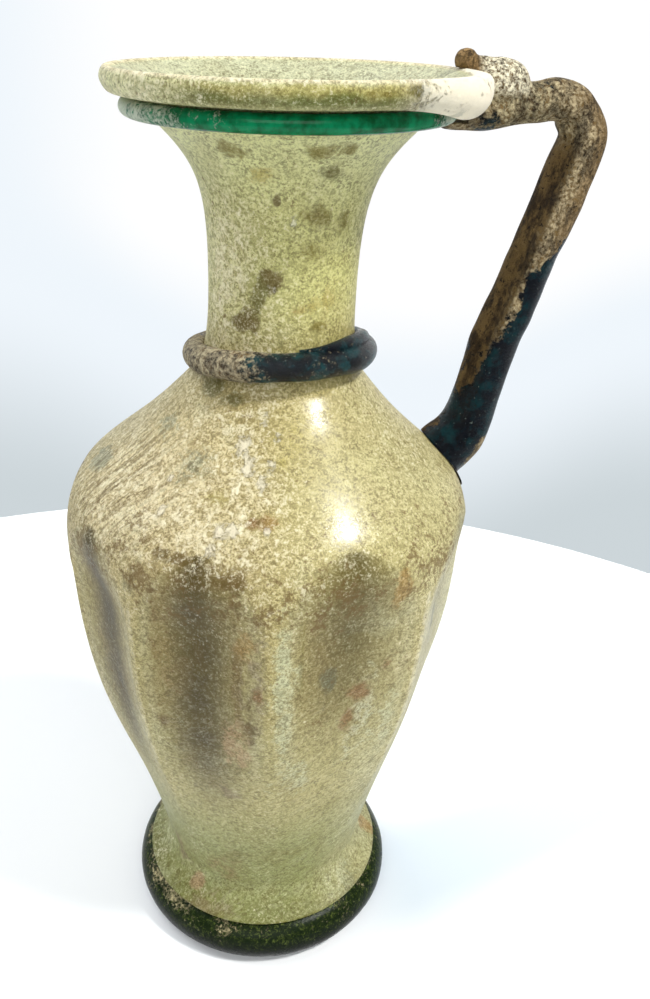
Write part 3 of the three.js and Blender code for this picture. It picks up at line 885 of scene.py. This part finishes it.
def paint_body(piece, angle, height, inside, ragged, crust, grime):
    """Stores for the material what lies where, with the two poles last."""
    outside = 1 - inside
    tone, mark, stain_and_lit_patch = body_tone(angle, height, inside, ragged)
    combed = near(angle, -160, 30) * bump_at(height, 114, 9)
    # ridge marks the rib crests for the painted highlight along them
    ridge = flute_share(angle, height) * smooth(height, 42, 60) * smooth(height, 104, 98)
    shine = bump_at(height, 113.2, 4.6) + bump_at(height, 127.4, 3.2)
    on_lobe = np.clip(1.7 * rim_lobe(angle, height), 0, 1.1)
    keep_values(
        piece,
        crust=np.append(crust * (1 - 0.6 * stain_and_lit_patch), [0.4, 0.3]),
        grime=np.append(grime, [0.5, 0.5]),
        tone=np.vstack([tone, tone[:1], tone[-1:]]),
        mark=np.vstack([mark, mark[:1], mark[-1:]]),
    )
    shares = {
        "combed": np.maximum(combed, 0.2 * smooth(height, 90, 70)) * outside,
        "ridge": ridge * (1 - 0.5 * near(angle, RIB_TURN, 14)) * outside,
        "flake": np.maximum(flakes_at(angle, height), on_lobe) * outside,
        "gloss": near(angle, -79, 15) * shine * outside,
        "stain_and_lit_patch": stain_and_lit_patch,
    }
    keep_values(piece, **{name: np.append(share, [0, 0]) for name, share in shares.items()})


# Applied trails

def make_foot_ring():
    middle = RING_TUBE - RING_FLAT
    flat = np.degrees(np.arccos(middle / RING_TUBE))
    ring, side = ring_grid(RING_AROUND, np.linspace(flat, 360 - flat, RING_SIDES) - 90)
    height = middle + RING_TUBE * sine(side)
    points = placed(RING_RADIUS + RING_TUBE * cosine(side), ring, height)
    free = smooth(height, 0.4, 2.5) * smooth(side, -80, -20) * smooth(side, 80, 40)
    relief = 0.1 * noise_at(points, 6, 12) * free
    points = points + placed(cosine(side), ring, sine(side)) * relief[:, None]
    piece = make_piece(
        "glass_foot_ring", points, rings_faces(RING_AROUND, RING_SIDES, True),
        "foot_ring", dark_green_glass())
    sideways = 1 - near(ring, -90, 42)
    crust = 0.22 + 0.22 * sideways * smooth(side, 10, 60) + 0.26 * noise_at(points, 7, 13)
    crust = crust + 0.14 * near(ring, -148, 28)
    # how much painted light shines through the ring, more towards its top
    keep_values(piece, crust=np.clip(crust, 0, 1), glow=smooth(height, 3, 9))


def swept(curve, side_of, size_at, sides):
    """Points of a rod along a curve, ring by ring; size_at gives half its thickness and half its width."""
    along = unit(np.gradient(curve, axis=0))
    side = unit(side_of - along * (along @ side_of)[:, None])
    across = np.cross(side, along)
    share = np.linspace(0, 1, len(curve))
    turn = np.arange(sides) * 2 * np.pi / sides
    thick, wide = size_at(share[:, None], turn[None, :])
    points = (curve[:, None] + across[:, None] * (thick * np.cos(turn))[..., None]
              + side[:, None] * (wide * np.sin(turn))[..., None])
    return points.reshape(-1, 3)


def rod_faces(rings, sides):
    """Quads along a rod, with a fan of triangles on each end."""
    faces = rings_faces(rings, sides, False)
    last = (rings - 1) * sides
    for i in range(1, sides - 1):
        faces.append((0, i + 1, i))
        faces.append((last, last + i, last + i + 1))
    return faces


def slanted_height(turn):
    return COIL_HEIGHT + COIL_SLANT * cosine(turn - COIL_HIGH_TURN)


def coil_height(turn):
    """The coil starts higher, where it lies over its own tail."""
    return slanted_height(turn) + 0.5 * TAIL_LIFT * (1 - smooth(turn, 0, 50))


def tail_height(turn):
    return slanted_height(turn) + TAIL_LIFT * (1 - 0.3 * smooth(turn, -30, 5))


def coil_size(share, turn):
    """A thickness that tapers at both ends and is a little uneven."""
    size = COIL_TUBE * (0.5 + 0.5 * smooth(share, 0, 0.12)) * (0.4 + 0.6 * smooth(1 - share, 0, 0.05))
    size = size * (1 + 0.04 * np.sin(share * 23) + 0.03 * np.sin(share * 61)) + 0 * turn
    return size, size


def tail_size(share, turn):
    size = TAIL_TUBE * (0.14 + 0.86 * smooth(share, 0, 0.5)) + 0 * turn
    return size, size


def turn_curve(first, last, radius, height_at, steps):
    """A line that runs round the axis from one angle to another."""
    turn = np.linspace(first, last, steps)
    return placed(radius, turn, height_at(turn))


def make_coil():
    radius = wall_radius(COIL_HEIGHT) + 0.5 * COIL_TUBE
    tail_radius = wall_radius(COIL_HEIGHT + TAIL_LIFT) + 0.75 * TAIL_TUBE
    coil = turn_curve(COIL_START_TURN, COIL_START_TURN + COIL_WIND, radius, coil_height, COIL_STEPS)
    tail = turn_curve(TAIL_TURN, COIL_START_TURN + TAIL_OVERLAP, tail_radius, tail_height, TAIL_STEPS)
    rods = []
    for curve, size, sides in ((coil, coil_size, COIL_SIDES), (tail, tail_size, TAIL_SIDES)):
        rod = swept(curve, np.array([0, 0, 1.0]), size, sides)
        rods.append((wander(lay_on_wall(rod)), rod_faces(len(curve), sides)))
    points, faces = joined(rods)
    piece = make_piece(
        "glass_neck_coil", points, faces,
        "neck_coil", dark_blue_glass(0.42))
    crust = 0.34 + 0.5 * facing(angle_of(points), -175, 0.2, 0.85) + 0.2 * noise_at(points, 5, 15)
    every = np.ones(len(points))
    tone = even((184, 172, 140), len(points))
    keep_values(piece, crust=np.clip(crust, 0, 1), tone=tone, light=1.35 * every, blue=every)


def make_thread():
    ring, side = ring_grid(THREAD_AROUND, np.arange(THREAD_SIDES) * 360 / THREAD_SIDES)
    radius = thread_radius() + THREAD_TUBE * cosine(side)
    points = placed(radius, ring, THREAD_HEIGHT + THREAD_TUBE * sine(side))
    points = wander(lay_on_wall(points))
    piece = make_piece(
        "glass_rim_thread", points, rings_faces(THREAD_AROUND, THREAD_SIDES, True),
        "rim_thread", teal_glass())
    crust = 0.16 + 0.66 * near(ring, 172, 62) + 0.14 * noise_at(points, 6, 16)
    crust = crust + 0.4 * near(ring, -38, 16)
    keep_values(piece, crust=np.clip(crust, 0, 1))


# Handle

def handle_curve():
    """The handle's middle line, from the shoulder up its limb and over to the rim."""
    tube, tip, reach, bow = HANDLE_FOOT_TUBE, HANDLE_TOP_TUBE, HANDLE_REACH, HANDLE_BEND
    top = RIM_TOP - HANDLE_TOP_DROP
    foot = wall_radius(HANDLE_FOOT)
    bend = top - bow
    low = np.array([foot + 0.68 * tube, HANDLE_FOOT + 0.9 * tube])
    high = np.array([reach, bend])
    corners = np.array([
        (foot - 0.8 * tube, HANDLE_FOOT - 0.6 * tube),
        low,
        low + 0.3 * (high - low) + (-0.8, 0),
        low + 0.65 * (high - low) + (-0.3, 0),
        high,
        (reach - 0.12 * bow, bend + 0.6 * bow),
        (reach - 0.55 * bow, top),
        (reach - 1.3 * bow, top - 0.03 * bow),
        (RIM_RADIUS + 1.2 * tip, top - 0.5 * tip),
        (thread_radius() + THREAD_TUBE, top - 0.5 * tip),
    ])
    plane = rounded(corners, HANDLE_STEPS)
    return np.stack([plane[:, 0], np.zeros(len(plane)), plane[:, 1]], 1)


def handle_size(share, turn):
    """Half thickness and half width, with a soft groove along the side that faces inwards."""
    thick = HANDLE_TUBE + (HANDLE_FOOT_TUBE - HANDLE_TUBE) * (1 - smooth(share, 0, 0.22))
    thick = thick - (HANDLE_TUBE - HANDLE_TOP_TUBE) * smooth(share, 0.35, 0.75)
    around = np.degrees(turn)
    limb = smooth(share, 0.08, 0.2) * (1 - smooth(share, 0.6, 0.75))
    groove = 0.15 * limb * near(around, 208, 22)
    ridge = 0.09 * limb * near(around, 242, 12)
    lumpy = 0.03 * np.sin(share * 37 + 2 * turn) + 0.02 * np.sin(share * 71 - turn)
    size = thick * (1 - groove + ridge + lumpy)
    return size, HANDLE_WIDTH * size


def ellipsoid(middle, sizes, steps=28):
    rings = steps // 2 - 1
    turns = np.arange(steps) * 2 * np.pi / steps
    around, up = np.meshgrid(turns, np.linspace(-np.pi / 2, np.pi / 2, rings + 2)[1:-1])
    around, up = around.ravel(), up.ravel()
    points = np.stack([np.cos(up) * np.cos(around), np.cos(up) * np.sin(around), np.sin(up)], 1)
    points = np.vstack([points, [(0, 0, -1), (0, 0, 1)]]) * sizes + middle
    return points, rings_faces(rings, steps, False) + pole_faces(rings, steps)


def fused(points, faces, grain, passes):
    """One skin round several closed meshes, with their seams smoothed, as softened glass has."""
    rough = mesh_object("fusing", points, faces)
    remesh = rough.modifiers.new("skin", "REMESH")
    remesh.mode = "VOXEL"
    remesh.voxel_size = grain
    relax = rough.modifiers.new("relax", "SMOOTH")
    relax.iterations = passes
    relax.factor = 0.5
    graph = bpy.context.evaluated_depsgraph_get()
    shell = bpy.data.meshes.new_from_object(rough.evaluated_get(graph))
    new_points = np.array([v.co for v in shell.vertices])
    new_faces = [tuple(p.vertices) for p in shell.polygons]
    lumps = rough.data
    bpy.data.objects.remove(rough)
    bpy.data.meshes.remove(lumps)
    bpy.data.meshes.remove(shell)
    return new_points, new_faces


def handle_form(curve):
    """The rod, its thumb rest, the knob at its folded end and the glass between the two, as one skin."""
    rod = swept(curve, np.array([0, 1.0, 0]), handle_size, HANDLE_SIDES), rod_faces(len(curve), HANDLE_SIDES)
    knob_x = RIM_RADIUS + 0.4 * KNOB_RADIUS
    knob_z = RIM_TOP + RIM_TILT * knob_x + 0.3 + 0.45 * KNOB_RADIUS
    thumb_x = RIM_RADIUS + 1.8 + THUMB_LENGTH
    thumb_z = RIM_TOP - 0.25 * THUMB_HEIGHT
    thumb = ellipsoid((thumb_x, 0, thumb_z), (THUMB_LENGTH, THUMB_WIDTH, THUMB_HEIGHT))
    knob = ellipsoid((knob_x, 0, knob_z), (KNOB_RADIUS, KNOB_RADIUS, KNOB_RADIUS * 0.97))
    bridge = ellipsoid(((knob_x + thumb_x) / 2, 0, (knob_z + thumb_z + 0.45 * THUMB_HEIGHT) / 2),
                       (BRIDGE_LENGTH, 0.9 * KNOB_RADIUS, 0.8 * KNOB_RADIUS))
    return fused(*joined([rod, thumb, knob, bridge]), SKIN_GRAIN, SKIN_PASSES)


def make_handle():
    curve = handle_curve()
    points, faces = handle_form(curve)
    nearest = np.array([np.argmin(((curve - p) ** 2).sum(1)) for p in points])
    points = points + 0.16 * noise_at(points, 4, 22)[:, None] * (points - curve[nearest]) / HANDLE_TUBE
    points = keep_off_rim(lay_on_wall(points))
    piece = make_piece(
        "glass_handle", points, faces,
        "handle", dark_blue_glass(0.16))
    paint_handle(piece, points, points - curve[nearest], nearest / (len(curve) - 1))


def handle_crust(points, outwards, ragged, lump):
    """Crust all over, but for bare glass up the outer side of the limb and in chips."""
    x, z = points[:, 0], points[:, 2]
    reach = 4.4 * smooth(z, 116, 146) - 1.8
    small = noise_at(points, 2.6, 26)
    bare = smooth(outwards + 2.0 * ragged + 1.6 * small, reach - 2.6, reach + 1.2)
    bare = bare * (1 - smooth(z + 4 * ragged, 147, 156))
    bare = bare * (1 - smooth(outwards, 3.4, 4.4) * smooth(z, 122, 110))
    bare = bare * smooth(z, 104, 108) + 0.5 * bump_at(x, 34.5, 3.5) * smooth(z, 176, 173)
    chips = smooth(noise_at(points, 3.6, 27), 0.34, 0.5) * (1 - lump)
    crust = 0.94 - 0.84 * np.clip(bare + 0.32 * chips, 0, 1) + 0.14 * noise_at(points, 4, 23)
    return np.clip(crust + 0.15 * lump, 0, 1)


def paint_handle(piece, points, offset, share):
    """Stores the crust, paler on the thumb rest, with painted shade on the inner side that faces the jug: a
    dark brown tone and dimmer crust.
    """
    x, z = points[:, 0], points[:, 2]
    outwards = offset[:, 0] * 0.85 - offset[:, 1] * 0.5
    across = 0.97 * offset[:, 0] - 0.25 * offset[:, 1]
    ragged = noise_at(points, 7, 24)
    lump = smooth(z, 176.5, 178.5) * (1 - smooth(x, 40.5, 43.5))
    # painted shade on the handle's inner side, which faces the jug
    inwards = smooth(0.5 * ragged - across, 0.7, 2.2) * (1 - smooth(z, 167, 173))
    arris = bump_at(outwards + 0.6 * ragged, 0.1, 0.5) * bump_at(z, 146, 26)
    tone = layered(
        even((196, 180, 144), len(points)),
        (0.8 * smooth(outwards, 1.4, 3.4) * smooth(z, 146, 156), (134, 110, 76)),
        (0.92 * inwards, (80, 58, 28)),
        (0.8 * arris, (56, 42, 24)),
        (0.7 * bump_at(share, 0.82, 0.09) * (1 - lump), (192, 182, 144)),
        (0.95 * lump, (246, 238, 208)),
        (lump * (1 - smooth(x, 32.4, 33.6)), (150, 122, 82)),
    )
    crust = handle_crust(points, outwards, ragged, lump)
    # crust dimmed as painted shade on the inner side; the lump is paler
    light = 0.85 - 0.5 * inwards + 0.62 * lump
    keep_values(piece, crust=crust, tone=tone, light=light, blue=np.full(len(points), 0.5))


def keep_off_rim(points):
    """Leaves the rim's bead and the thread clear where the handle's end is pressed against them."""
    height = points[:, 2]
    return pushed_out(points, RIM_RADIUS + RIM_CLEARANCE, (height > FUNNEL - 3.4) & (height < RIM_TOP + 1))


# Stage, light and camera

def floor_material():
    """A white table with a faint bluish painted shadow of the jug that runs out from under it."""
    s = Shader("plain_floor", Roughness=0.7)
    cloud = s.noise(120, 2, seed=3)
    x, y = s.node("ShaderNodeSeparateXYZ", s.place).outputs[:2]
    aside = s.less(y, s.times(x, 0.22))
    # painted shadow: a soft band to the right of the jug's foot, where the jug would cast its shadow
    shade = s.times(s.step(aside, -42, -24), s.step(aside, 10, -10))
    shade = s.times(s.times(shade, s.step(x, 0, 26)), s.blend(cloud, 0.8, 1.0))
    pale = s.mix(cloud, (240, 243, 246), (248, 250, 251))
    s.set(Base_Color=s.mix(shade, pale, (204, 216, 226)))
    return s.material


def wall_material():
    """A pale wall, greyer and bluer low down on the left, that gives its own even light."""
    s = Shader("plain_wall", Base_Color=(0, 0, 0), Roughness=1.0, Emission_Strength=1.0)
    place = s.node("ShaderNodeSeparateXYZ", s.place).outputs
    x, z = place[0], place[2]
    middle = s.step(s.maths("ABSOLUTE", s.less(x, 200)), 330, 60)
    level = s.add(s.add(z, s.times(middle, 90)), s.times(x, 0.1))
    low = s.mix(s.step(level, -215, -20), (203, 212, 216), (238, 245, 251))
    high = s.times(s.step(level, 0, 90), s.step(x, -110, 20))
    s.set(Emission_Color=s.mix(high, low, (255, 255, 255)))
    return s.material


def make_plane(name, corners, material):
    plane = mesh_object(name, np.array(corners) * MM, [tuple(range(len(corners)))])
    plane.data.materials.append(material)


def make_stage():
    turn = np.arange(180) * 2
    round_edge = placed(TABLE_RADIUS, turn, 0 * turn) + (TABLE_X, TABLE_Y, 0)
    make_plane("floor", round_edge, floor_material())
    (left, right), (low, high) = BACKDROP_SPAN, BACKDROP_RISE
    corners = (left, low), (right, low), (right, high), (left, high)
    make_plane("backdrop", [(x, BACKDROP_Y, z) for x, z in corners], wall_material())


def make_light(name, direction, distance, size, power, colour):
    """A soft square lamp that faces the middle of the jug."""
    lamp = bpy.data.lights.new(name, "AREA")
    lamp.shape = "RECTANGLE"
    lamp.size, lamp.size_y = size
    lamp.energy = power
    lamp.color = colour
    holder = scene_object(name, lamp)
    aim = Vector((AXIS_X * MM, 0, 0.1))
    holder.location = aim + Vector(direction).normalized() * distance
    holder.rotation_euler = (aim - holder.location).to_track_quat("-Z", "Y").to_euler()


def make_lights():
    world = bpy.data.worlds.new("studio")
    world.use_nodes = True
    background = world.node_tree.nodes["Background"]
    background.inputs["Color"].default_value = WORLD_COLOUR
    background.inputs["Strength"].default_value = WORLD_STRENGTH
    bpy.context.scene.world = world
    for lamp in LAMPS:
        make_light(*lamp)


def make_camera():
    """The photograph's place, direction, roll and focal length."""
    upright = np.array([0, 0, 1.0])
    heading = np.array([sine(VIEW_TURN), cosine(VIEW_TURN), 0])
    level = np.array([cosine(VIEW_TURN), -sine(VIEW_TURN), 0])
    forward = cosine(VIEW_PITCH) * heading - sine(VIEW_PITCH) * upright
    above = sine(VIEW_PITCH) * heading + cosine(VIEW_PITCH) * upright
    right = cosine(VIEW_ROLL) * level + sine(VIEW_ROLL) * above
    up = -sine(VIEW_ROLL) * level + cosine(VIEW_ROLL) * above
    lens = bpy.data.cameras.new("camera")
    lens.sensor_width = SENSOR
    lens.lens = FOCAL_PIXELS * SENSOR / PHOTO_HEIGHT
    lens.clip_start = 0.01
    camera = scene_object("camera", lens)
    place = (np.array(VIEW_PLACE) + (AXIS_X, 0, 0)) * MM
    camera.matrix_world = Matrix((*zip(right, up, -forward, place), (0, 0, 0, 1)))
    bpy.context.scene.camera = camera


bpy.context.scene.view_settings.view_transform = "Standard"
make_camera()
make_lights()
make_stage()
make_body()
make_foot_ring()
make_coil()
make_thread()
make_handle()
